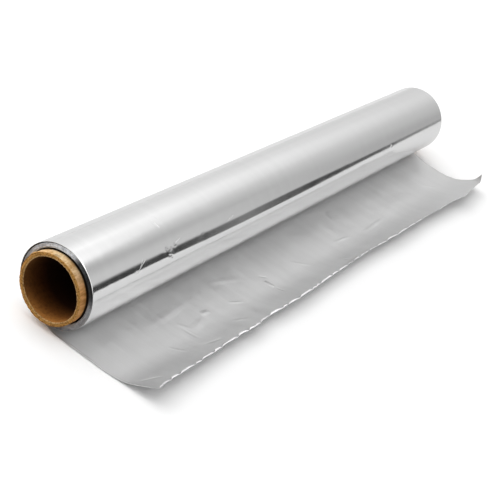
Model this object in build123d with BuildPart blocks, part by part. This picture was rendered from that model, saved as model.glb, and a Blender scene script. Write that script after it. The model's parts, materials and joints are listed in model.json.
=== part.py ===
from build123d import *
import math
import os

# Household aluminium foil roll: a spiral-wound paper core, and the foil wound on it,
# lying on a table with the loose end of the foil pulled forward.
#
# Frame, millimetres: +X runs along the roll, +Z up. The origin is on the table, straight
# below the roll's axis and at the middle of its length. The loose end lies towards -Y.

# Core: a thick-walled paper tube, a little longer than the foil is wide.
core_bore_d = 25.6      # inside diameter, for a holder's spindle
core_wall = 1.9         # paper wall
core_proud = 3.5        # length that stands out of the foil at each end
rim_rounding = 0.4      # the cut rims, rubbed round

# Foil: all the turns, and the loose end that the last turn runs out into.
foil_width = 300.0      # width of the foil, which is the length of the wound turns
winding_play = 0.1      # radial gap between the core and the first turn
foil_build = 2.5        # how deep the turns lie on the core
rest_sink = 0.1         # how much the soft turns flatten where the roll lies on the table
sheet_thickness = 0.3   # of the single loose layer, which is really about 0.015
flat_run = 35.0         # stretch of the loose end that lies flat, from below the axis
sheet_drift = -2.5      # along X, as the foil was drawn off slightly askew

# The loose end curls up past its flat stretch. Along the width, from -X to +X:
# place as a share of the width from the middle, bend radius, length of the curled foil.
curl_sections = [
    (-0.50, 31.0, 19.5),
    (-0.32, 36.0, 19.0),
    (-0.12, 36.0, 18.6),
    (0.06, 30.0, 16.6),
    (0.26, 28.0, 16.2),
    (0.41, 22.0, 16.6),
    (0.50, 12.0, 17.5),
]

core_r = core_bore_d / 2 + core_wall
core_length = foil_width + 2 * core_proud
winding_r = core_r + winding_play
roll_r = winding_r + foil_build
axis_height = roll_r - rest_sink

roll_end = Plane.YZ.offset(-foil_width / 2)
sheet_end = Plane.YZ.offset(-foil_width / 2 + sheet_drift)


# Paper core: one straight tube with rounded rims.
with BuildPart() as core_tube:
    with BuildSketch(Plane.YZ.offset(-core_length / 2)):
        with Locations((0, axis_height)):
            Circle(core_r)
            Circle(core_bore_d / 2, mode=Mode.SUBTRACT)
    extrude(amount=core_length)
    rims = core_tube.edges().filter_by(GeomType.CIRCLE)
    fillet(rims, radius=min(rim_rounding, 0.45 * core_wall))
core_tube.part.label = "core_tube"


# Foil: the wound turns, flattened where they rest, and the loose end.
with BuildPart() as foil_roll:
    with BuildSketch(roll_end):
        with Locations((0, axis_height)):
            Circle(roll_r)
            Circle(winding_r, mode=Mode.SUBTRACT)
        with Locations((0, -roll_r)):
            Rectangle(2 * roll_r, 2 * roll_r, mode=Mode.SUBTRACT)
    extrude(amount=foil_width)

    # The flat stretch, from below the roll's axis to where the foil starts to curl.
    with BuildSketch(sheet_end):
        Rectangle(flat_run, sheet_thickness, align=(Align.MAX, Align.MIN))
    extrude(amount=foil_width)

    # The curled lip: an arc at each section, bent more sharply at the far corner.
    for share, bend_r, curl_length in curl_sections:
        turn = math.degrees(curl_length / bend_r)
        bend_centre = (-flat_run, bend_r)
        with BuildSketch(Plane.YZ.offset(share * foil_width + sheet_drift)):
            with BuildLine():
                under = CenterArc(bend_centre, bend_r, -90, -turn)
                over = CenterArc(bend_centre, bend_r - sheet_thickness, -90, -turn)
                Line(under @ 0, over @ 0)
                Line(under @ 1, over @ 1)
            make_face()
    loft()
foil_roll.part.label = "foil_roll"


os.makedirs("parts", exist_ok=True)
export_step(core_tube.part, "parts/core_tube.step")
export_step(foil_roll.part, "parts/foil_roll.step")
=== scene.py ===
"""Looks for the aluminium foil roll: the foil's last turn with its loose end, the edges of the
wound turns, and the paper core. Everything is in metres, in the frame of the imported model,
unless a name or a comment says mm. Angles round the roll are in degrees from its lowest line:
90 is +Y, 180 the top and 270 -Y, where the loose end lies."""
import json
import math
from types import SimpleNamespace

import bpy
import numpy as np
from mathutils import Matrix, Vector


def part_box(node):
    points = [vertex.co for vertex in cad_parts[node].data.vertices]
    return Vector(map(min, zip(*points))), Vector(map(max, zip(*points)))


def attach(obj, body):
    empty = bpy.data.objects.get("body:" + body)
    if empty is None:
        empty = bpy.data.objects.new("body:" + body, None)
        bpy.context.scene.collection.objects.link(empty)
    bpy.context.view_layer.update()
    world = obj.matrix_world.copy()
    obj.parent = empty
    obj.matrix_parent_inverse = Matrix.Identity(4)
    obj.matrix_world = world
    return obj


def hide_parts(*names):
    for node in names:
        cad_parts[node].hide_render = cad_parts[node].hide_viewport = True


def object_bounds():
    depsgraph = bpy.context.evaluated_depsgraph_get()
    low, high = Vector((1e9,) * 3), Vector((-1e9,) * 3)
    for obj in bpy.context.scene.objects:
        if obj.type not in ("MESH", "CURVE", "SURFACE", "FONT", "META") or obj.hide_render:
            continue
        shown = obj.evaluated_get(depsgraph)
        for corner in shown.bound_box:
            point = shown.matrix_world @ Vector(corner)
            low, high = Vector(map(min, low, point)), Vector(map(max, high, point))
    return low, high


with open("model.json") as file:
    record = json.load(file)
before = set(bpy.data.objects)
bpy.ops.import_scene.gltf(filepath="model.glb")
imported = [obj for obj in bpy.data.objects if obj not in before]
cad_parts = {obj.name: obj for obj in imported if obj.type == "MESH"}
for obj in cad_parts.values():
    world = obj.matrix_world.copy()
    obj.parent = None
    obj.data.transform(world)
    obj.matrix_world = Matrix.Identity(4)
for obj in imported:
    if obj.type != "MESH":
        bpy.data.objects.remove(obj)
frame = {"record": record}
cad_low, cad_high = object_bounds()
core_low, core_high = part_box("core_tube")
mounts = {m["name"]: m for m in frame["record"]["mounts"]}

MM = 0.001
AXIS_Z = mounts["core_bore"]["pos_m"][2]
BORE_R = mounts["core_bore"]["dims"]["r_mm"] * MM
CORE_R = (core_high[2] - core_low[2]) / 2
CORE_HALF = core_high[0]
WINDING_PLAY = 0.1 * MM
WINDING_R = CORE_R + WINDING_PLAY
ROLL_R = cad_high[1]
ROLL_R_MM = ROLL_R / MM
ROUND_ROLL = 2 * math.pi * ROLL_R
WIDTH_MM = 300
HALF_MM = WIDTH_MM / 2
WIDTH_HALF = HALF_MM * MM
FOIL_THICK = 0.05 * MM   # thicker than real foil, so that its two sides stay apart


# ---------------------------------------------------------------- camera

CAMERA_AT = Vector((-0.46805, -0.20265, 0.27651))
CAMERA_YAW = math.radians(23.244)
CAMERA_PITCH = math.radians(-30.088)
CAMERA_ROLL = math.radians(21.148)
CAMERA_LENS = 89.97


def make_camera():
    look = Vector((math.cos(CAMERA_PITCH) * math.cos(CAMERA_YAW),
                   math.cos(CAMERA_PITCH) * math.sin(CAMERA_YAW),
                   math.sin(CAMERA_PITCH)))
    level = look.cross(Vector((0, 0, 1))).normalized()
    above = level.cross(look)
    right = level * math.cos(CAMERA_ROLL) + above * math.sin(CAMERA_ROLL)
    up = above * math.cos(CAMERA_ROLL) - level * math.sin(CAMERA_ROLL)
    data = bpy.data.cameras.new("camera")
    data.lens = CAMERA_LENS
    data.sensor_width = 36
    data.clip_start = 0.01
    camera = bpy.data.objects.new("camera", data)
    rows = [(right[i], up[i], -look[i], CAMERA_AT[i]) for i in range(3)]
    camera.matrix_world = Matrix((*rows, (0, 0, 0, 1)))
    bpy.context.collection.objects.link(camera)
    bpy.context.scene.camera = camera


make_camera()


# ---------------------------------------------------------------- node helpers

class Nodes:
    """Short calls for building a node tree."""

    def __init__(self, tree):
        self.tree = tree
        tree.nodes.clear()

    def add(self, kind, inputs=None, **settings):
        made = self.tree.nodes.new(kind)
        for name, value in settings.items():
            setattr(made, name, value)
        for name, value in (inputs or {}).items():
            self.feed(made.inputs[name], value)
        return made

    def feed(self, socket, value):
        if isinstance(value, bpy.types.NodeSocket):
            self.tree.links.new(value, socket)
        else:
            socket.default_value = value

    def math(self, operation, a, b=0.0, c=0.0):
        made = self.add("ShaderNodeMath", operation=operation)
        for socket, value in zip(made.inputs, (a, b, c)):
            self.feed(socket, value)
        return made.outputs[0]

    def hypotenuse(self, a, b):
        squares = self.math("ADD", self.math("MULTIPLY", a, a), self.math("MULTIPLY", b, b))
        return self.math("SQRT", squares)

    def weighted(self, a, b, share_of_a):
        return self.math("ADD", self.math("MULTIPLY", a, share_of_a),
                         self.math("MULTIPLY", b, 1 - share_of_a))

    def ramp(self, value, stops):
        """stops are (position, grey or colour)."""
        made = self.add("ShaderNodeValToRGB", {"Fac": value})
        points = made.color_ramp.elements
        while len(points) < len(stops):
            points.new(0.5)
        for point, (position, colour) in zip(points, stops):
            point.position = position
            if not hasattr(colour, "__len__"):
                colour = (colour,) * 3
            point.color = (*colour, 1)
        return made.outputs["Color"]

    def remap(self, value, low, high, to_low=0.0, to_high=1.0, smooth=True):
        made = self.add("ShaderNodeMapRange", {
            "Value": value, "From Min": low, "From Max": high, "To Min": to_low, "To Max": to_high})
        made.interpolation_type = "SMOOTHSTEP" if smooth else "LINEAR"
        return made.outputs["Result"]

    def blend(self, factor, a, b):
        """Mix of two values."""
        made = self.add("ShaderNodeMix", {"Factor": factor})
        self.feed(made.inputs["A"], a)
        self.feed(made.inputs["B"], b)
        return made.outputs["Result"]

    def mix(self, factor, a, b):
        """Mix of two colours."""
        made = self.add("ShaderNodeMix", data_type="RGBA")
        self.feed(made.inputs["Factor"], factor)
        for name, value in (("A", a), ("B", b)):
            socket = [s for s in made.inputs if s.name == name and s.type == "RGBA"][0]
            if not isinstance(value, bpy.types.NodeSocket) and len(value) == 3:
                value = (*value, 1)
            self.feed(socket, value)
        return [s for s in made.outputs if s.type == "RGBA"][0]

    def noise(self, vector, scale, detail=3.0, roughness=0.5, distortion=0.0, flat=False):
        """flat noise varies over the first two coordinates only."""
        return self.add("ShaderNodeTexNoise", {
            "Vector": vector, "Scale": scale, "Detail": detail, "Roughness": roughness,
            "Distortion": distortion}, noise_dimensions="2D" if flat else "3D").outputs["Fac"]

    def stretched(self, vector, scale):
        return self.add("ShaderNodeMapping", {"Vector": vector, "Scale": scale}).outputs[0]

    def bump(self, height, distance, strength=1.0, under=None):
        """A bumped normal; under is the normal that it lies on."""
        made = self.add("ShaderNodeBump", {
            "Height": height, "Distance": distance, "Strength": strength})
        if under is not None:
            self.feed(made.inputs["Normal"], under)
        return made.outputs[0]

    def surface(self, inputs):
        shader = self.add("ShaderNodeBsdfPrincipled", inputs)
        self.add("ShaderNodeOutputMaterial", {"Surface": shader.outputs[0]})


# ---------------------------------------------------------------- studio

# Light by direction, as (azimuth in degrees, brightness) stops; azimuth 0 is +X, 90 is +Y.
# What the foil mirrors, at each elevation in degrees:
MIRRORED = [
    (10, [(-180, 0.88), (-135, 1.05), (-86, 1.4), (-66, 1.3), (-58, 0.60), (-48, 0.64),
          (-40, 0.66), (-35, 0.58), (-30, 0.47), (-26, 0.45), (-20, 0.52), (0, 0.62), (27, 0.74),
          (45, 0.86), (60, 0.88), (86, 0.9), (135, 1.0)]),
    (22, [(-180, 0.62), (-135, 1.55), (-86, 1.7), (-66, 1.4), (-58, 0.62), (-48, 0.66),
          (-40, 0.66), (-35, 0.62), (-27, 0.53), (-20, 0.59), (-14, 0.61), (-6, 0.65), (3, 0.69),
          (13, 0.76), (21, 0.80), (31, 0.89), (45, 0.92), (60, 0.9), (86, 0.7), (135, 1.0)]),
    (41, [(-180, 0.6), (-135, 1.55), (-86, 1.7), (-66, 1.4), (-58, 0.65), (-40, 0.50),
          (-34, 0.48), (-28, 0.50), (-20, 0.62), (-10, 0.75), (0, 0.92), (12, 1.10), (22, 1.26),
          (31, 1.20), (37, 1.09), (45, 0.98), (60, 0.75), (86, 0.45), (135, 1.0)]),
    (49, [(-180, 0.6), (-135, 1.2), (-90, 1.65), (-45, 2.95), (0, 1.45), (45, 0.52),
          (90, 1.1), (135, 0.8)])]
MIRRORED_TOP = 0.7       # straight above, from TOP_FROM up
# What lights the floor and the paper: up to HIGH_FROM, up to TOP_FROM, and straight above.
SOFT_WALLS = [
    (-180, 0.12), (-135, 0.1), (-90, 0.4), (-45, 0.45), (0, 0.4), (30, 1.0), (60, 2.2), (90, 3.2),
    (120, 2.3), (140, 1.3), (160, 0.4)]
SOFT_HIGH = [
    (-180, 1.1), (-135, 0.45), (-90, 1.4), (-45, 0.8), (0, 0.1), (45, 0.6), (90, 2.2), (135, 1.4)]
SOFT_TOP = 2.0
HIGH_FROM = 45
TOP_FROM = 70
EDGE_FADE = 2            # degrees over which each of these fades in, to either side
# The dark gap low in front, between the floor's edge and the lights, as the foil mirrors it:
# the elevation of its upper edge, and how bright the gap is.
GAP_TOP = [
    (-180, 2), (-90, 3), (-66, 6), (-58, 10.4), (-42, 9.8), (-40, 8.9), (-39, 8.0), (-38, 6.0),
    (-37.2, 4.6), (-36, 5.9), (-34.5, 5.4), (-33, 4.6), (-32, 3.0), (-31, 1.6), (-30, 1.8),
    (-28, 2.2), (-22, 1.2), (-10, 0.5), (60, 0.5), (90, 2)]
GAP_LIGHT = [
    (-180, 0.5), (-90, 0.4), (-66, 0.05), (-42, 0.05), (-40, 0.055), (-38.4, 0.10),
    (-37.2, 0.27), (-36.2, 0.40), (-35.2, 0.12), (-34, 0.03), (-32.4, 0.025), (-31, 0.04),
    (-29.6, 0.15), (-28, 0.29), (-20, 0.5), (60, 0.8), (90, 0.5)]
GAP_FADE = (1.35, 0.65)  # where the gap starts and is whole, as shares of its upper edge
BACKDROP = 1.02          # what the camera sees behind the floor


def by_azimuth(n, share, stops):
    """Brightness read from (azimuth, value) stops all the way round."""
    peak = max(value for _, value in stops)
    stops = [((azimuth + 180) / 360, value / peak) for azimuth, value in stops]
    return n.math("MULTIPLY", n.ramp(share, [*stops, (1.0, stops[0][1])]), peak)


def make_world():
    """A soft studio: bright walls and boxes of light, with a dark gap low down in front. The
    foil mirrors one set of brightnesses and the dull surfaces are lit by another, so that
    neither the mirror images nor the shadows are blown out."""
    world = bpy.data.worlds.new("studio")
    bpy.context.scene.world = world
    world.use_nodes = True
    world.cycles.sampling_method = "NONE"
    n = Nodes(world.node_tree)
    direction = n.add("ShaderNodeTexCoord").outputs["Generated"]
    x, y, z = n.add("ShaderNodeSeparateXYZ", {"Vector": direction}).outputs
    share = n.math("MULTIPLY_ADD", n.math("ARCTAN2", y, x), 1 / (2 * math.pi), 0.5)
    elevation = n.math("MULTIPLY", n.math("ARCSINE", z), 180 / math.pi)
    above_floor = n.remap(elevation, 3, 7)
    to_high = n.remap(elevation, HIGH_FROM - EDGE_FADE, HIGH_FROM + EDGE_FADE)
    to_top = n.remap(elevation, TOP_FROM - EDGE_FADE, TOP_FROM + EDGE_FADE)

    mirrored = by_azimuth(n, share, MIRRORED[0][1])
    for (below, _), (above, stops) in zip(MIRRORED, MIRRORED[1:]):
        rise = n.remap(elevation, below, above, smooth=False)
        mirrored = n.blend(rise, mirrored, by_azimuth(n, share, stops))
    height = n.math("DIVIDE", elevation, by_azimuth(n, share, GAP_TOP))
    in_gap = n.remap(height, *GAP_FADE)
    mirrored = n.blend(in_gap, mirrored, by_azimuth(n, share, GAP_LIGHT))
    mirrored = n.blend(to_top, mirrored, MIRRORED_TOP)

    soft = n.math("MULTIPLY", by_azimuth(n, share, SOFT_WALLS), above_floor)
    soft = n.blend(to_high, soft, by_azimuth(n, share, SOFT_HIGH))
    soft = n.blend(to_top, soft, SOFT_TOP)

    path = n.add("ShaderNodeLightPath")
    total = n.blend(path.outputs["Is Diffuse Ray"], mirrored, soft)
    studio = n.add("ShaderNodeBackground", {"Color": total})
    plain = n.add("ShaderNodeBackground", {"Color": (1, 1, 1, 1), "Strength": BACKDROP})
    both = n.add("ShaderNodeMixShader", {
        "Fac": path.outputs["Is Camera Ray"], 1: studio.outputs[0], 2: plain.outputs[0]})
    n.add("ShaderNodeOutputWorld", {"Surface": both.outputs[0]})


FLOOR_GREY = 0.77
FLOOR_SEEN = 1.05        # the camera sees the floor brighter than it is, as if overexposed
FLOOR_SIZE = 3.0
FLOOR_Z = -0.1 * MM
# The floor's front edge, as (x, y) in metres, which the roll mirrors as the lower edge of its
# dark strip. It lies well outside the picture of the object and its shadow.
FLOOR_FRONT = [
    (-3.0, -0.62), (0.52, -0.57), (0.30, -0.37), (0.14, -0.215), (0.10, -0.165), (0.094, -0.13),
    (0.115, -0.121), (0.15, -0.124), (0.20, -0.138), (0.30, -0.175), (0.45, -0.22), (3.0, -1.2)]


def new_material(name):
    material = bpy.data.materials.new(name)
    material.use_nodes = True
    return material, Nodes(material.node_tree)


def make_floor():
    mesh = bpy.data.meshes.new("floor")
    outline = [*FLOOR_FRONT, (FLOOR_SIZE, FLOOR_SIZE), (-FLOOR_SIZE, FLOOR_SIZE)]
    corners = [(x, y, FLOOR_Z) for x, y in outline]
    mesh.from_pydata(corners, [], [tuple(range(len(corners)))])
    floor = bpy.data.objects.new("floor", mesh)
    bpy.context.collection.objects.link(floor)
    material, n = new_material("floor")
    seen = n.add("ShaderNodeLightPath").outputs["Is Camera Ray"]
    grey = n.remap(seen, 0, 1, FLOOR_GREY, FLOOR_SEEN, smooth=False)
    shader = n.add("ShaderNodeBsdfDiffuse", {"Color": grey})
    n.add("ShaderNodeOutputMaterial", {"Surface": shader.outputs[0]})
    mesh.materials.append(material)


make_world()
make_floor()
bpy.context.scene.view_settings.view_transform = "Standard"


# ---------------------------------------------------------------- materials

def from_axis(n):
    """Node outputs at the shaded point: its place, x, y, its radius from the roll's axis, and
    its turn round the axis, 0 to 1, starting at the lowest line and rising towards +Y."""
    place = n.add("ShaderNodeTexCoord").outputs["Object"]
    x, y, z = n.add("ShaderNodeSeparateXYZ", {"Vector": place}).outputs
    up = n.math("SUBTRACT", z, AXIS_Z)
    angle = n.math("ARCTAN2", y, n.math("MULTIPLY", up, -1))
    turn = n.math("FRACT", n.math("MULTIPLY_ADD", angle, 1 / (2 * math.pi), 1.0))
    return SimpleNamespace(place=place, x=x, y=y, radius=n.hypotenuse(y, up), turn=turn)


def ramp_round(n, at, stops):
    """stops are (angle round the roll in degrees, grey)."""
    return n.ramp(at.turn, [(angle / 360, grey) for angle, grey in stops])


def rings_of(n, at, per_metre):
    """Concentric lines, as 1D noise over the distance from the axis."""
    along = n.math("MULTIPLY", at.radius, per_metre)
    return n.add("ShaderNodeTexNoise", {"W": along, "Scale": 1.0, "Detail": 3.0},
                 noise_dimensions="1D").outputs["Fac"]


# Creases in the loose end, seen from above, mm: from (x, y) to (x, y), height and half width.
CREASES = [
    (-44.6, -32.0, -43.6, -37.0, 0.45, 1.5), (-43.5, -38.0, -42.8, -42.0, -0.26, 0.9),
    (-44.0, -28.5, -40.5, -31.5, -0.12, 0.9), (-90.5, -30.5, -85.0, -31.2, 0.22, 1.8),
    (-104.5, -28.5, -101.5, -34.5, 0.10, 1.4), (-102.5, -35.5, -91.0, -32.5, 0.16, 2.8),
    (-104.8, -31.0, -103.8, -40.5, -0.15, 1.2), (-147.8, -43.0, -138.5, -47.2, -0.20, 0.9),
    (-73.0, -32.2, -65.5, -35.8, 0.14, 1.1), (-83.0, -41.0, -76.0, -44.5, 0.14, 1.1),
    (-107.0, -44.0, -98.0, -46.3, -0.14, 1.1), (-119.5, -35.5, -115.5, -42.6, 0.12, 1.1),
    (-118.0, -24.0, -84.0, -21.5, 0.14, 3.0), (-70.0, -19.0, -52.0, -25.0, 0.14, 2.6),
    (16.0, -33.0, 28.5, -34.5, 0.12, 1.2), (39.0, -36.5, 63.0, -35.3, 0.12, 1.5),
    (118.0, -30.0, 126.0, -37.0, 0.12, 1.2), (96.0, -40.0, 104.0, -45.0, 0.12, 1.1),
    (4.0, -42.0, 9.0, -47.0, 0.12, 1.1), (-20.0, -30.0, -12.0, -38.0, 0.10, 1.2)]
# Scratches on the last turn: from (x in mm, angle round the roll) to the same, and the width in
# mm. Nicks: x in mm, angle, and the radius in mm of the crumpled spot.
SCRATCHES = [
    (-118.3, 235.0, -124.4, 247.8, 0.20), (-119.9, 234.0, -123.3, 247.2, 0.16),
    (-104.9, 193.0, -103.6, 206.0, 0.16), (-102.2, 187.0, -101.0, 197.0, 0.14),
    (-99.0, 232.5, -95.5, 229.5, 0.18), (-62.0, 236.5, -58.0, 233.5, 0.14)]
NICKS = [
    (-104.8, 233.6, 1.4), (-102.6, 239.0, 2.0), (-99.2, 234.0, 1.3), (-102.0, 248.6, 1.2),
    (88.3, 245.8, 1.3), (-80.6, 237.0, 1.2)]


def off_line(n, a, b, start, end):
    """How far the point (a, b) is from the line between two places, and how far along it."""
    da = end[0] - start[0]
    db = end[1] - start[1]
    length2 = da * da + db * db
    from_a = n.math("SUBTRACT", a, start[0])
    from_b = n.math("SUBTRACT", b, start[1])
    share = n.math("ADD", n.math("MULTIPLY", from_a, da / length2),
                   n.math("MULTIPLY", from_b, db / length2))
    share = n.math("MINIMUM", n.math("MAXIMUM", share, 0.0), 1.0)
    off_a = n.math("SUBTRACT", from_a, n.math("MULTIPLY", share, da))
    off_b = n.math("SUBTRACT", from_b, n.math("MULTIPLY", share, db))
    return n.hypotenuse(off_a, off_b), share


def scratched(n, at):
    """1 on a scratch, 0 elsewhere."""
    b = n.math("MULTIPLY", at.turn, ROUND_ROLL)
    total = 0.0
    for x0, angle0, x1, angle1, width in SCRATCHES:
        start = (x0 * MM, angle0 / 360 * ROUND_ROLL)
        end = (x1 * MM, angle1 / 360 * ROUND_ROLL)
        distance = off_line(n, at.x, b, start, end)[0]
        total = n.math("MAXIMUM", n.remap(distance, width * MM, 0.4 * width * MM), total)
    return total


def nicked(n, at):
    """Fades from 1 in the middle of a nick to 0 at its radius."""
    total = 0.0
    for place, angle, radius in NICKS:
        ahead = n.math("SUBTRACT", at.x, place * MM)
        aside = n.math("MULTIPLY", n.math("SUBTRACT", at.turn, angle / 360), ROUND_ROLL)
        distance = n.hypotenuse(ahead, aside)
        total = n.math("MAXIMUM", n.remap(distance, radius * MM, 0.2 * radius * MM), total)
    return total


def creased(n, at):
    """Height of the loose end's creases, in mm."""
    total = 0.0
    for x0, y0, x1, y1, height, width in CREASES:
        distance, share = off_line(n, at.x, at.y, (x0 * MM, y0 * MM), (x1 * MM, y1 * MM))
        taper = n.math("MULTIPLY", share, n.math("SUBTRACT", 1.0, share))
        fold = n.math("MULTIPLY", n.remap(distance, width * MM, 0), taper)
        total = n.math("MULTIPLY_ADD", fold, 4 * height, total)
    return total


def foil_material(name, base, roughness, mottle, anisotropy, streak_depth, blisters, marks):
    """Rolled foil: a metal with fine rolling lines round the roll, which blur what it mirrors
    along the roll's length. base is (darkest, lightest) grey, mottle how much the roughness
    varies, blisters the height of the slow unevenness of a sheet that has been handled, and
    marks is "scratches" or "creases"."""
    material, n = new_material(name)
    uv = n.add("ShaderNodeUVMap", uv_map="web").outputs["UV"]
    fine = n.noise(n.stretched(uv, (2600, 22, 1)), 1.0, flat=True)
    bands = n.noise(n.stretched(uv, (260, 9, 1)), 1.0, 2.0, flat=True)
    clouds = n.noise(uv, 55.0, flat=True)
    slow = n.noise(uv, 48.0, 2.0, distortion=0.4, flat=True)
    colour = n.ramp(n.weighted(fine, bands, 0.5), [(0.3, base[0]), (0.7, base[1])])
    rough = n.remap(clouds, 0.3, 0.7, roughness - mottle, roughness + mottle, smooth=False)
    streaks = n.math("ADD", fine, n.math("MULTIPLY", bands, 1.5))
    normal = n.bump(streaks, streak_depth, under=n.bump(slow, blisters))
    at = from_axis(n)
    if marks == "creases":
        normal = n.bump(creased(n, at), MM, under=normal)
    if marks == "scratches":
        rough = n.math("MULTIPLY_ADD", scratched(n, at), 0.4, rough)
        grain = n.math("SUBTRACT", n.noise(at.place, 1100, 2.0), 0.5)
        crumple = n.math("MULTIPLY", nicked(n, at), grain)
        normal = n.bump(crumple, 0.25 * MM, under=normal)
    tangent = n.add("ShaderNodeTangent", direction_type="UV_MAP", uv_map="web")
    n.surface({"Base Color": colour, "Metallic": 1.0, "Roughness": rough,
               "Anisotropic": anisotropy, "Normal": normal, "Tangent": tangent.outputs[0]})
    return material


def torn_material():
    """The torn hem: finely crumpled foil that catches light from every side."""
    material, n = new_material("foil_torn")
    place = n.add("ShaderNodeTexCoord").outputs["Object"]
    crumple = n.noise(place, 1400.0, 4.0)
    patches = n.noise(place, 260.0, 2.0)
    colour = n.ramp(patches, [(0.35, 0.88), (0.6, 0.97)])
    rough = n.remap(patches, 0.3, 0.7, 0.34, 0.5, smooth=False)
    n.surface({"Base Color": colour, "Metallic": 1.0, "Roughness": rough,
               "Normal": n.bump(crumple, 0.07 * MM)})
    return material


FOIL_TINT = (0.97, 0.985, 1.02)
# Painted light and shade on the turns' edges round the roll: how bright they are painted, bright on
# top, in painted shade just past the top towards -Y, and dimmer low down.
PAINTED_EDGE_LIGHT_ROUND = [
    (0, 0.20), (60, 0.18), (100, 0.45), (125, 0.75), (150, 0.88), (178, 1.0), (192, 0.9),
    (204, 0.14), (225, 0.05), (252, 0.06), (262, 0.24), (270, 0.48), (290, 0.52), (318, 0.55),
    (335, 0.36), (350, 0.22)]
# Painted shade in the gap below the last turn: where round the roll it is painted dark, and over
# which radii.
PAINTED_GAP_SHADE_ROUND = [(0, 0.0), (60, 0.6), (95, 1.0), (172, 1.0), (192, 0.0)]
PAINTED_GAP_SHADE_R = (ROLL_R - 0.75 * MM, ROLL_R - 0.55 * MM)
PAINTED_GAP_SHADE_DARK = 0.97


def edge_material():
    """Edges of the wound turns: fine rings of foil, with painted light and shade round the roll and
    a painted dark gap below the last turn."""
    material, n = new_material("foil_edges")
    at = from_axis(n)
    spots = n.noise(at.place, 900)
    tone = n.weighted(rings_of(n, at, 9000), spots, 0.6)
    lines = n.ramp(tone, [(0.38, 0.30), (0.5, 0.80), (0.60, 1.0)])
    # painted light and shade round the roll, laid over the rings' own grey
    grey = n.math("MULTIPLY", ramp_round(n, at, PAINTED_EDGE_LIGHT_ROUND), lines)
    # painted shade: the gap below the last turn is painted dark
    painted_gap_shade = n.math("MULTIPLY", n.remap(at.radius, *PAINTED_GAP_SHADE_R), ramp_round(n, at, PAINTED_GAP_SHADE_ROUND))
    grey = n.math("MULTIPLY", grey, n.math("MULTIPLY_ADD", painted_gap_shade, -PAINTED_GAP_SHADE_DARK, 1.0))
    tint = n.add("ShaderNodeVectorMath", {0: FOIL_TINT, "Scale": grey}, operation="SCALE")
    rough = n.remap(spots, 0.3, 0.7, 0.28, 0.46, smooth=False)
    n.surface({"Base Color": tint.outputs[0], "Metallic": 1.0, "Roughness": rough,
               "Normal": n.bump(tone, 0.15 * MM, 0.8)})
    return material


def paper_surface(n, colour, normal):
    n.surface({"Base Color": colour, "Roughness": 0.82, "Specular IOR Level": 0.1,
               "Normal": normal})


# How much of the rubbed, orange paper shows round the outside, where the paler cream top is partly
# painted light; and the painted light and shade round the bore.
RUBBED_ORANGE_AND_PAINTED_LIGHT_ROUND = [(0, 1.0), (110, 0.6), (160, 0.0), (200, 0.0), (240, 1.0)]
PAINTED_BORE_LIGHT_ROUND = [
    (0, 1.0), (30, 0.9), (60, 0.45), (90, 0.28), (150, 0.25), (250, 0.28), (300, 0.7), (330, 1.0)]


def outside_material():
    """Paper board, cream and rubbed orange, with fibres along the tube and blotches. Round the
    outside it is partly painted light: paler cream on top and darker orange lower down. Where it is
    inside the foil it is painted near black, as shade."""
    material, n = new_material("paper_outside")
    at = from_axis(n)
    fibres = n.noise(n.stretched(at.place, (0.35, 1, 1)), 900, 6.0, 0.65)
    tone = n.weighted(fibres, n.noise(at.place, 180), 0.6)
    cream = n.ramp(tone, [(0.38, (0.56, 0.31, 0.11)), (0.58, (0.96, 0.74, 0.45))])
    orange = n.mix(n.remap(fibres, 0.35, 0.65), (0.58, 0.25, 0.07), (0.86, 0.43, 0.15))
    # rubbed orange paper, mixed with painted light: paler cream on top, darker orange lower down
    colour = n.mix(n.math("MULTIPLY", ramp_round(n, at, RUBBED_ORANGE_AND_PAINTED_LIGHT_ROUND), 0.9), cream, orange)
    # painted shade: the paper inside the foil is painted near black
    from_middle = n.math("ABSOLUTE", at.x)
    painted_shade_in_foil = n.remap(from_middle, WIDTH_HALF + 0.1 * MM, WIDTH_HALF - 0.7 * MM)
    colour = n.mix(painted_shade_in_foil, colour, (0.02, 0.01, 0.005))
    paper_surface(n, colour, n.bump(fibres, 0.25 * MM, 0.6))
    return material


def rim_material():
    """The core's cut rim: the board's layers on edge, paler outwards, with torn brown fibres."""
    material, n = new_material("paper_rim")
    at = from_axis(n)
    fibres = n.noise(at.place, 1100, 6.0, 0.75)
    across = n.remap(at.radius, BORE_R, CORE_R, smooth=False)
    shaken = n.math("ADD", across, n.math("MULTIPLY_ADD", fibres, 0.36, -0.18))
    layers = n.ramp(shaken, [
        (0.00, (0.66, 0.42, 0.19)), (0.10, (0.62, 0.37, 0.13)), (0.22, (0.46, 0.23, 0.06)),
        (0.42, (0.54, 0.27, 0.07)), (0.60, (0.64, 0.35, 0.10)), (0.74, (0.34, 0.14, 0.03)),
        (0.84, (0.60, 0.30, 0.08)), (0.94, (0.88, 0.56, 0.23)), (1.00, (0.80, 0.46, 0.16))])
    flecks = n.ramp(n.noise(at.place, 1500, 4.0), [(0.38, 0.0), (0.52, 1.0)])
    colour = n.mix(n.math("MULTIPLY_ADD", flecks, 0.72, 0.28), (0.16, 0.065, 0.02), layers)
    height = n.math("ADD", fibres, n.math("MULTIPLY", rings_of(n, at, 3500), 0.8))
    paper_surface(n, colour, n.bump(height, 0.25 * MM, 0.8))
    return material


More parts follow.
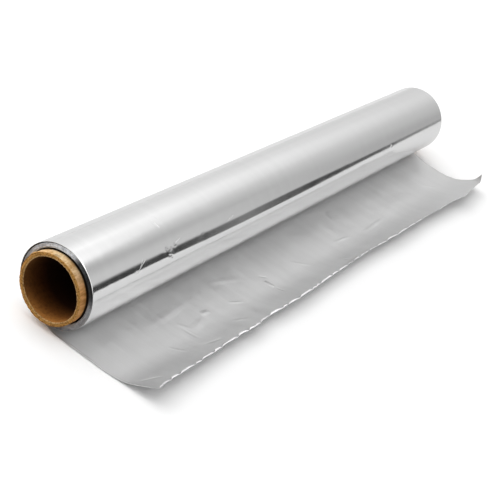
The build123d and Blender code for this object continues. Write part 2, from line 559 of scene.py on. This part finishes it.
def bore_material():
    """The tube's inside: brown paper, with painted shade that darkens it away from the open ends and
    on its sides and top, and painted light near its lowest line.
    """
    material, n = new_material("paper_bore")
    at = from_axis(n)
    fibres = n.noise(at.place, 900, 6.0, 0.6)
    depth = n.math("SUBTRACT", CORE_HALF, n.math("ABSOLUTE", at.x))
    # painted shade: darker with depth away from the open end
    shade = n.ramp(n.math("DIVIDE", depth, 40 * MM), [
        (0.0, (0.62, 0.26, 0.06)), (0.15, (0.30, 0.11, 0.024)), (0.35, (0.05, 0.018, 0.006)),
        (1.0, (0.012, 0.007, 0.005))])
    # painted light and shade round the bore: lit near the lowest line, dark on the sides and top
    painted_bore_light = ramp_round(n, at, PAINTED_BORE_LIGHT_ROUND)
    strength = n.math("MULTIPLY", n.remap(fibres, 0.25, 0.6, 0.62, 1.0), painted_bore_light)
    colour = n.mix(strength, (0.022, 0.008, 0.003), shade)
    paper_surface(n, colour, n.bump(fibres, 0.18 * MM, 0.7))
    return material


BRIGHT = foil_material(
    "foil_bright", base=(0.80, 0.83), roughness=0.105, mottle=0.02, anisotropy=0.6,
    streak_depth=0.0006 * MM, blisters=0.02 * MM, marks="scratches")
MATTE = foil_material(
    "foil_matte", base=(0.65, 0.68), roughness=0.48, mottle=0.05, anisotropy=0.3,
    streak_depth=0.0015 * MM, blisters=0.30 * MM, marks="creases")
TORN = torn_material()
EDGES = edge_material()
PAPER_OUTSIDE = outside_material()
PAPER_RIM = rim_material()
PAPER_BORE = bore_material()


# ---------------------------------------------------------------- mesh helpers

def waves(seed, at, lengths, count):
    """Sum of seeded sines with wavelengths between the two given, about -1 to 1."""
    rng = np.random.default_rng(seed)
    total = np.zeros_like(at)
    for _ in range(count):
        length = rng.uniform(*lengths)
        total += np.sin(2 * math.pi * at / length + rng.uniform(0, 2 * math.pi))
    return total / math.sqrt(count)


def field(seed, a, b, lengths, count):
    """The same over two coordinates, as plane waves in all directions."""
    rng = np.random.default_rng(seed)
    total = np.zeros(np.broadcast(a, b).shape)
    for _ in range(count):
        turn = rng.uniform(0, math.pi)
        length = rng.uniform(*lengths)
        total += np.sin(2 * math.pi * (a * math.cos(turn) + b * math.sin(turn)) / length
                        + rng.uniform(0, 2 * math.pi))
    return total / math.sqrt(count)


def bump_at(value, centre, width):
    return np.exp(-((value - centre) / width) ** 2)


def read(keys, at, column=1):
    """Straight-line reading of one column of keys, whose first column is the place."""
    keys = np.array(keys, float)
    return np.interp(at, keys[:, 0], keys[:, column])


def mesh_object(name, points, faces, slots, materials, uvs=None):
    mesh = bpy.data.meshes.new(name)
    mesh.from_pydata([tuple(p) for p in points], [], [tuple(int(i) for i in f) for f in faces])
    for material in materials:
        mesh.materials.append(material)
    mesh.polygons.foreach_set("material_index", np.asarray(slots, dtype=np.int32))
    if uvs is not None:
        layer = mesh.uv_layers.new(name="web")
        loops = np.empty(len(mesh.loops), dtype=np.int32)
        mesh.loops.foreach_get("vertex_index", loops)
        layer.data.foreach_set("uv", uvs[loops].ravel())
    mesh.polygons.foreach_set("use_smooth", [True] * len(mesh.polygons))
    mesh.update()
    made = bpy.data.objects.new(name, mesh)
    bpy.context.collection.objects.link(made)
    return made


def grid_faces(rows, columns, start=0, flip=False, close=False):
    """Quads of a rows x columns grid of points; close joins the last column to the first."""
    i = np.arange(rows - 1)[:, None]
    j = np.arange(columns if close else columns - 1)[None, :]
    k = (j + 1) % columns
    quads = np.stack([i * columns + j, (i + 1) * columns + j,
                      (i + 1) * columns + k, i * columns + k], axis=-1).reshape(-1, 4) + start
    return quads[:, ::-1] if flip else quads


def closed_tube(name, points, slots, materials):
    """Joins rings of points into a closed tube; the last ring joins the first."""
    rows, around = points.shape[:2]
    faces = grid_faces(rows, around, flip=True, close=True)
    bridge = grid_faces(2, around, flip=True, close=True)
    last = (rows - 1) * around
    bridge = np.where(bridge >= around, bridge - around, bridge + last)
    return mesh_object(name, points.reshape(-1, 3), np.concatenate([faces, bridge]), slots,
                       materials)


# ---------------------------------------------------------------- the foil's last turn and loose end

# Along X, mm: the foil's length from below the axis to the free edge, where it starts to rise
# off the table, and the radius it bends to there.
LOOSE_KEYS = [
    (-150, 55.4, 34.0, 20), (-145, 53.7, 34.2, 22), (-139, 52.8, 34.5, 24), (-120, 52.2, 35, 26),
    (-106, 51.7, 35, 27), (-90, 51.5, 35, 27), (-81, 52.1, 35, 27), (-70, 50.8, 35, 27),
    (-62, 51.6, 35, 27), (-40, 51.8, 35, 26), (-20, 50.9, 35, 26), (10, 50.7, 35, 26),
    (26, 50.7, 35, 25), (48, 51.8, 35, 25), (70, 51.5, 35, 25), (79, 51.2, 35, 25),
    (97, 51.8, 34.8, 25), (112, 52.3, 34.5, 25), (122, 54.6, 34, 25), (131, 52.8, 34, 25),
    (140, 52.4, 33.5, 25), (147, 52.2, 33, 23), (150, 52.8, 33, 22)]
# Along -Y, mm: how far the two side edges have drifted along X, near end and far end.
NEAR_DRIFT = [(0, 0), (6, -2.0), (30, -2.0), (40, -1.2), (54, -0.5)]
FAR_DRIFT = [
    (0, 0), (6, -0.4), (10.6, -1.4), (14.2, -3.2), (20, -5.2), (28, -6.2), (34, -5.4),
    (38, -4.4), (42, -2.4), (45, -0.9), (54, 0.2)]
# Dents in the last turn: x in mm, angle round the roll, size and depth in mm.
DENTS = [
    (-105.4, 235.8, 0.8, 0.030), (-103.6, 240.5, 1.1, -0.030), (-103.2, 245.0, 0.8, 0.045),
    (-101.6, 243.0, 0.7, -0.030), (-99.0, 236.0, 0.8, 0.030), (-107.6, 238.0, 1.4, -0.015),
    (-124.0, 246.2, 0.7, 0.025), (-121.8, 241.5, 0.6, 0.018), (-119.4, 237.0, 0.6, 0.018),
    (-80.5, 241.0, 1.8, 0.012), (-77.0, 238.0, 1.5, -0.012), (-84.0, 237.0, 1.6, -0.010),
    (88.4, 245.6, 0.9, 0.035), (86.8, 243.5, 0.9, -0.015), (40.0, 247.5, 2.2, 0.010),
    (17.0, 243.0, 2.5, -0.008), (-139.0, 247.0, 1.2, 0.015), (116.0, 258.0, 2.0, 0.020),
    (105.0, 259.0, 2.4, -0.014), (-60.0, 262.0, 2.2, 0.012)]
COLUMNS = 372            # of the mesh, along X
LIP_BEND = 8.5           # mm over which the loose end bends upwards
EAR_WIDTH = 4.0          # mm of the far corner that are curled up
EAR_LENGTH = 8.0
HEM = 1.15               # mm of the free edge that are torn and folded back, at most
HEM_LEAST = 0.12         # and at least, so that the mesh's rows stay apart
HEM_FOLD = 0.25          # mm over which they fold
HEM_RISE = 0.9           # mm behind the fold that stand up
HEM_WEAK_FROM = 70       # x in mm from which the hem is hardly turned
HEM_WEAK = 0.35
# Rows of the mesh: in the hem, as shares of its width beyond the fold; close behind the fold,
# in mm; evenly spaced from there to below the axis; and round the last turn, in degrees, closer
# together where the dents are.
HEM_ROWS = [-1, -0.55, -0.25]
CLOSE_ROWS = [0, 0.12, 0.26, 0.42, 0.6, 0.8, 1.05, 1.4, 1.8, 2.3, 2.9, 3.6, 4.4, 5.3, 6.3]
EVEN_ROWS = 44
TURN_ROWS = np.concatenate([
    np.arange(6, 200, 7.5), np.arange(200, 230, 4.0), np.arange(230, 250, 1.6),
    np.arange(250, 367, 5.5)])
TURN_PITCH = 1.6         # foil thicknesses by which the last turn winds inwards
TURN_BACK = 0.02         # mm it stays inside the CAD roll


def sheet_columns():
    """Places along X, mm, closer together at the sides and at the worst dents."""
    fine = np.linspace(-HALF_MM, HALF_MM, 6001)
    density = 1.05 + 1.1 * bump_at(fine, -103.5, 6) + 0.7 * bump_at(fine, -121.5, 6)
    density += 4.0 * np.exp((np.abs(fine) - HALF_MM) / 1.1)
    reach = np.cumsum(density)
    reach = (reach - reach[0]) / (reach[-1] - reach[0])
    return np.interp(np.linspace(0, 1, COLUMNS), reach, fine)


def torn_edge(x_mm):
    """The free edge was torn on a toothed blade: uneven lengths, each a little askew. Returns,
    at each x, a shift of the edge and how strongly its hem is turned, 0 to 1."""
    rng = np.random.default_rng(17)
    shift = np.zeros_like(x_mm)
    turned = np.zeros_like(x_mm)
    place = -HALF_MM - 1
    while place < HALF_MM + 1:
        length = rng.uniform(3.5, 13)
        inside = (x_mm >= place) & (x_mm < place + length)
        share = (x_mm[inside] - place) / length
        shift[inside] = rng.uniform(0.05, 0.45) * (share - 0.5) + rng.uniform(-0.12, 0.12)
        strength = rng.uniform(0.55, 1.0) * (1 if place < HEM_WEAK_FROM else HEM_WEAK)
        rising = np.clip(5 * share, 0, 1)
        falling = np.clip(5 * (1 - share), 0.15, 1)
        turned[inside] = strength * rising * falling
        place += length
    return shift, turned


def loose_rows(x_mm):
    """Rows of the loose end from the free edge to below the roll's axis: for each row and
    column the length from below the axis, y and z in mm, and the heading of the foil."""
    shift, turned = torn_edge(x_mm)
    ear = np.clip((x_mm - HALF_MM + EAR_WIDTH) / EAR_WIDTH, 0, 1)
    hem = np.maximum(HEM * turned * (1 - ear), HEM_LEAST)
    reach = read(LOOSE_KEYS, x_mm, 1) + shift
    start = read(LOOSE_KEYS, x_mm, 2)
    bend = read(LOOSE_KEYS, x_mm, 3)
    torn = np.array(HEM_ROWS)[:, None] * hem
    close = np.array(CLOSE_ROWS)[:, None]
    rest = np.linspace(0, 1, EVEN_ROWS + 1)[1:, None]
    from_edge = np.concatenate([
        torn, close + 0 * reach, CLOSE_ROWS[-1] + rest * (reach - CLOSE_ROWS[-1])])
    along = reach - from_edge

    # Heading: level on the table, then up the bend and the slower stretch beyond it.
    heading = np.clip((along - start) / LIP_BEND, 0, 1) * LIP_BEND / bend
    heading += np.clip((along - start - LIP_BEND) / 100, 0, 1)
    # The last few mm stand up unevenly, and the far corner's ear curls up.
    stand = 0.10 + 0.32 * bump_at(x_mm, 42, 38) + 0.10 * waves(31, x_mm, (18, 60), 5)
    heading += stand * np.clip(1 - from_edge / 3.2, 0, 1)
    heading += 0.65 * np.clip((EAR_LENGTH * ear - from_edge) / 5, 0, 1)
    # The torn hem rises and is folded back.
    heading += 0.55 * turned * (1 - ear) * np.clip((HEM_RISE - from_edge) / 0.4, 0, 1)
    back = 2.0 + 0.15 * waves(37, x_mm, (4, 12), 6)
    heading += back * (1 - ear) * np.clip((HEM_FOLD / 2 - from_edge) / HEM_FOLD, 0, 1)

    step = -np.diff(along, axis=0)
    middle = (heading[1:] + heading[:-1]) / 2
    y = np.zeros_like(along)
    z = np.zeros_like(along)
    y[:-1] = -np.cumsum((step * np.cos(middle))[::-1], axis=0)[::-1]
    z[:-1] = np.cumsum((step * np.sin(middle))[::-1], axis=0)[::-1]
    return along, y, z, heading


def loose_end(x_mm, y, z, heading):
    """Points of the loose end, mm, and the way its outside faces: its rows, drifted along X and
    lifted off the table by the swell of handled foil and by its rolled side edges."""
    x = np.broadcast_to(x_mm, y.shape)
    share = (x + HALF_MM) / WIDTH_MM
    drift = read(NEAR_DRIFT, -y) * (1 - share) + read(FAR_DRIFT, -y) * share
    free = np.clip(-y / 14, 0, 1) ** 2
    swell = 0.10 * (1 + field(3, x, y, (35, 120), 7)) + 0.05 * field(4, x, y, (9, 26), 8)
    uneven = np.clip(0.6 + 0.4 * waves(8, y, (5, 20), 5), 0, 1.2)
    side_roll = 0.30 * bump_at(HALF_MM - np.abs(x), 0.4, 0.35) * uneven
    lift = free * (np.clip(swell, 0, None) + side_roll)
    points = np.stack([x + drift, y + lift * np.sin(heading), z + lift * np.cos(heading)], axis=-1)
    outward = np.stack([0 * y, -np.sin(heading), -np.cos(heading)], axis=-1)
    return points, outward


def last_turn(x_mm, wrap):
    """The same for the last turn, whose rows lie at the angles wrap, in radians. It winds
    inwards a little, and is dented and slightly uneven."""
    turn = np.degrees(wrap)[:, None]
    x = x_mm[None, :]
    thick = FOIL_THICK / MM
    radius = ROLL_R_MM - TURN_PITCH * thick * wrap[:, None] / (2 * math.pi) - TURN_BACK
    radius = radius + 0.020 * field(9, x, wrap[:, None] * ROLL_R_MM, (22, 80), 8)
    radius = radius - 0.05 * np.exp(-(HALF_MM - np.abs(x)) / 0.2)
    for place, angle, size, depth in DENTS:
        aside = np.radians(turn - angle) * ROLL_R_MM
        radius = radius - depth * bump_at(x, place, size) * bump_at(aside, 0, size)
    lowest = np.where(turn > 180, 1.4 * thick, 0)
    across = np.sin(wrap)[:, None]
    down = np.cos(wrap)[:, None]
    height = np.maximum(AXIS_Z / MM - radius * down, lowest)
    flat = np.zeros_like(radius)
    points = np.stack([x + flat, radius * across, height], axis=-1)
    outward = np.stack([flat, across + flat, -down + flat], axis=-1)
    return points, outward


def foil_sheet():
    """One skin: the loose end from its free edge to below the axis, and then the last turn."""
    x_mm = sheet_columns()
    along, y, z, heading = loose_rows(x_mm)
    wrap = np.radians(TURN_ROWS)
    loose, loose_outward = loose_end(x_mm, y, z, heading)
    turn, turn_outward = last_turn(x_mm, wrap)
    outer = np.concatenate([loose, turn]) * MM
    inner = outer - np.concatenate([loose_outward, turn_outward]) * FOIL_THICK
    run = np.concatenate([along[0] - along, along[0] + wrap[:, None] * ROLL_R_MM]) * MM
    uvs = np.stack([outer[:, :, 0] + 0.2, run], axis=-1)

    rows, columns = run.shape
    count = rows * columns
    outer_faces = grid_faces(rows, columns)
    inner_faces = grid_faces(rows, columns, start=count, flip=True)
    border = [(i, 0) for i in range(rows)]
    border += [(rows - 1, j) for j in range(1, columns)]
    border += [(i, columns - 1) for i in range(rows - 2, -1, -1)]
    border += [(0, j) for j in range(columns - 2, 0, -1)]
    ring = np.array([i * columns + j for i, j in border])
    after = np.roll(ring, -1)
    border_faces = np.stack([ring, ring + count, after + count, after], axis=-1)
    in_hem = np.arange(len(outer_faces)) < len(HEM_ROWS) * (columns - 1)
    bright, matte, torn = range(3)
    slots = np.concatenate([
        np.where(in_hem, torn, bright), np.where(in_hem, torn, matte),
        np.full(len(border_faces), bright)])
    return mesh_object(
        "foil_sheet", np.concatenate([outer.reshape(-1, 3), inner.reshape(-1, 3)]),
        np.concatenate([outer_faces, inner_faces, border_faces]), slots, (BRIGHT, MATTE, TORN),
        uvs=np.concatenate([uvs.reshape(-1, 2)] * 2))


# ---------------------------------------------------------------- the wound turns' edges

TURNS_OUT_R = ROLL_R - 3.4 * FOIL_THICK
TURNS_BACK = 0.22 * MM   # how far their edges stay behind the last turn's
TURNS_RINGS = 48
TURNS_AROUND = 300


def wound_turns():
    """The turns below the last one: a thick tube whose two end faces show the foil's edges."""
    angle = np.linspace(0, 2 * math.pi, TURNS_AROUND, endpoint=False)
    radii = np.linspace(TURNS_OUT_R, WINDING_R, TURNS_RINGS)
    from_out = (TURNS_OUT_R - radii) / MM
    from_core = (radii - WINDING_R) / MM
    core_groove = 4.0 * np.clip((0.10 - from_core) / 0.05, 0, 1)
    loose_turn = 0.4 + 1.1 * bump_at(np.degrees(angle), 143, 38)
    leaning = np.cos(angle - math.radians(285))

    def end_face(side, seed):
        """Rings of one end face, from the outside in, each standing out differently."""
        rng = np.random.default_rng(seed)
        step = np.convolve(rng.normal(0, 0.11, len(radii)), [0.2, 0.6, 0.2], "same")
        step = step + 0.12 * waves(seed + 2, from_core, (0.5, 1.6), 4)
        face = []
        for k, radius in enumerate(radii):
            wobble = 0.04 * waves(seed + k // 2, angle, (0.7, 3.0), 5)
            groove = core_groove[k] + loose_turn * bump_at(from_out[k], 0.20, 0.22)
            telescope = 0.1 * leaning * (1 - from_out[k] / from_out[-1])
            out = (step[k] + wobble - groove - telescope) * MM - TURNS_BACK
            face.append(np.stack([side * (WIDTH_HALF + out), radius * np.sin(angle),
                                  AXIS_Z - radius * np.cos(angle)], axis=-1))
        return face

    points = np.array(end_face(-1, 40)[::-1] + end_face(1, 90))
    points[:, :, 2] = np.maximum(points[:, :, 2], 1.5 * FOIL_THICK)
    return closed_tube("wound_turns", points, np.zeros(points.size // 3), (EDGES,))


# ---------------------------------------------------------------- the paper core

# The paper tube sits loosely in the foil's first turn: it is smaller, and has sunk and moved
# towards +Y. Shifts are (y, z).
CORE_SLACK = 0.45 * MM
CORE_SHIFT = (0.35 * MM, -0.35 * MM)
BORE_SLACK = 0.2 * MM
BORE_SHIFT = (0.10 * MM, -0.20 * MM)
RIM_ROUNDING = 0.42 * MM
RIM_BACK = 0.15 * MM     # how far the rims stay behind the CAD core's
TORN_ANGLE = 136         # where the near rim is torn
TORN_OUT = 0.75          # mm it stands out there
CORE_AROUND = 320
RIM_RINGS = 19
TUBE_RINGS = 14          # along the bore, and along the outside
TUBE_END = 0.97          # where they end, as a share of the half length


def paper_core():
    angle = np.linspace(0, 2 * math.pi, CORE_AROUND, endpoint=False)
    outside_r = CORE_R - CORE_SLACK
    bore_r = BORE_R - BORE_SLACK
    wall = outside_r - bore_r

    def ring(x, radius):
        share = np.clip((radius - bore_r) / wall, 0, 1)
        y = BORE_SHIFT[0] + (CORE_SHIFT[0] - BORE_SHIFT[0]) * share
        z = BORE_SHIFT[1] + (CORE_SHIFT[1] - BORE_SHIFT[1]) * share
        return np.stack([np.broadcast_to(x, angle.shape), y + radius * np.sin(angle),
                         AXIS_Z + z - radius * np.cos(angle)], axis=-1)

    def rim(side, seed, tear):
        """Rings round one cut rim, from the bore's side to the outside."""
        uneven = 0.20 * waves(seed, angle, (0.5, 2.6), 6)
        ragged = 0.07 * waves(seed + 1, angle, (0.07, 0.3), 7)
        torn = tear * bump_at(np.degrees(angle), TORN_ANGLE, 10)
        made = []
        for step in np.linspace(0, 1, RIM_RINGS):
            bend = math.pi * step
            across = -math.copysign(abs(math.cos(bend)) ** 0.75, math.cos(bend))
            depth = RIM_ROUNDING * (1 - math.sin(bend) ** 0.5)
            plies = 0.09 * (math.sin(step * 7 * math.pi) + 0.6 * math.sin(step * 11 * math.pi + 1))
            rough = uneven + ragged - plies + TORN_OUT * torn * bump_at(step, 0.72, 0.22)
            x = CORE_HALF - RIM_BACK - depth + rough * math.sin(bend) ** 0.4 * MM
            pushed = 0.05 * MM * waves(seed + 5, angle, (0.2, 1.2), 5) * math.sin(bend)
            flared = 0.6 * MM * torn * bump_at(step, 0.8, 0.2)
            made.append(ring(side * x, bore_r + wall / 2 + across * wall / 2 + pushed + flared))
        return made

    along = np.linspace(-TUBE_END, TUBE_END, TUBE_RINGS) * CORE_HALF
    inside = [ring(x, bore_r) for x in along[::-1]]
    outside = [ring(x, outside_r) for x in along]
    near = rim(-1, 7, tear=1)
    far = rim(1, 19, tear=0)[::-1]
    # The material of the strip between each ring and the next.
    paper, cut, bore = range(3)
    kinds = [bore] * len(inside) + [cut] * (len(near) - 1) + [paper] * (len(outside) + 1)
    kinds += [cut] * (len(far) - 1) + [bore]
    return closed_tube("paper_core", np.array(inside + near + outside + far),
                       np.repeat(kinds, CORE_AROUND), (PAPER_OUTSIDE, PAPER_RIM, PAPER_BORE))


sheet = foil_sheet()
turns = wound_turns()
core = paper_core()
for piece in (sheet, turns, core):
    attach(piece, "root")
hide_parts("foil_roll")
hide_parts("foil_roll")
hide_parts("core_tube")
